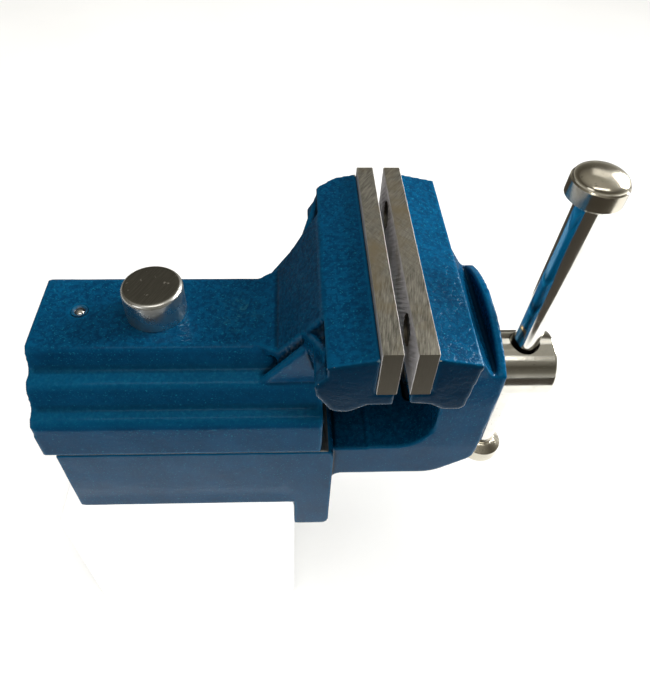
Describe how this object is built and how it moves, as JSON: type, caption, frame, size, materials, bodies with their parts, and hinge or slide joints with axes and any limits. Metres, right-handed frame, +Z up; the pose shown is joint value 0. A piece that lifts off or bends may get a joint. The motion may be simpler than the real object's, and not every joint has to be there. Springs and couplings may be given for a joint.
{
  "type": "bench vise",
  "caption": "Cast bench vise with a sliding rear jaw on a stepped carriage, a lip over the bench edge, steel jaw plates, a round anvil and a tommy-bar spindle.",
  "frame": {"origin": "centre of the bench seat, the underside of the bed box that rests on the bench", "axes": "+X points along the spindle to the handle, +Y across the jaws, +Z up"},
  "size_m": [0.2087, 0.1, 0.1699],
  "materials": {
    "blue_enamel": "glossy hammered enamel on a rough casting",
    "ground_steel": "ground, with slanting grinding marks",
    "bright_plating": "bright plated over turned steel",
    "dark_steel": "oiled black steel",
    "spring_steel": "drawn wire",
    "bronze": "machined bronze"
  },
  "bodies": {
    "base": {"base_casting": "blue_enamel", "front_jaw_plate": "ground_steel", "front_jaw_screws": "dark_steel", "spindle_bush": "bronze"},
    "carriage": {"rear_jaw_casting": "blue_enamel", "rear_jaw_plate": "ground_steel", "rear_jaw_screws": "dark_steel", "anvil_stud": "bright_plating", "oiler_body": "bright_plating", "oiler_spring": "spring_steel", "spindle_nut": "bronze", "nut_screws": "dark_steel", "keeper_plate": "dark_steel", "keeper_screws": "dark_steel"},
    "oiler_ball": {"oiler_ball": "bright_plating"},
    "spindle": {"spindle": "bright_plating", "thrust_washer": "bronze", "retaining_collar": "dark_steel", "collar_pin": "dark_steel"},
    "handle": {"tommy_bar": "bright_plating", "upper_knob": "bright_plating", "lower_knob": "bright_plating"}
  },
  "joints": [
    {"name": "spindle_turn", "type": "hinge", "parent": "base", "child": "spindle", "pos_m": [0.1464, 0, 0.05075], "axis": [1, 0, 0], "range_deg": [-305, 5110]},
    {"name": "rear_jaw_slide", "type": "slide", "parent": "base", "child": "carriage", "axis": [-1, 0, 0], "range_m": [-0.00425, 0.071]},
    {"name": "bar_slide", "type": "slide", "parent": "spindle", "child": "handle", "axis": [0.0332, 0, 0.9995], "range_m": [-0.0688, 0.0427]},
    {"name": "oiler_ball_press", "type": "slide", "parent": "carriage", "child": "oiler_ball", "axis": [0, 0, -1], "range_m": [0, 0.001], "stiffness_N_per_m": 200, "springref_m": -0.0005, "deforming": ["oiler_spring"]}
  ],
  "couplings": [
    {"joint": "rear_jaw_slide", "follows": "spindle_turn", "m_per_rad": 0.00079577}
  ]
}
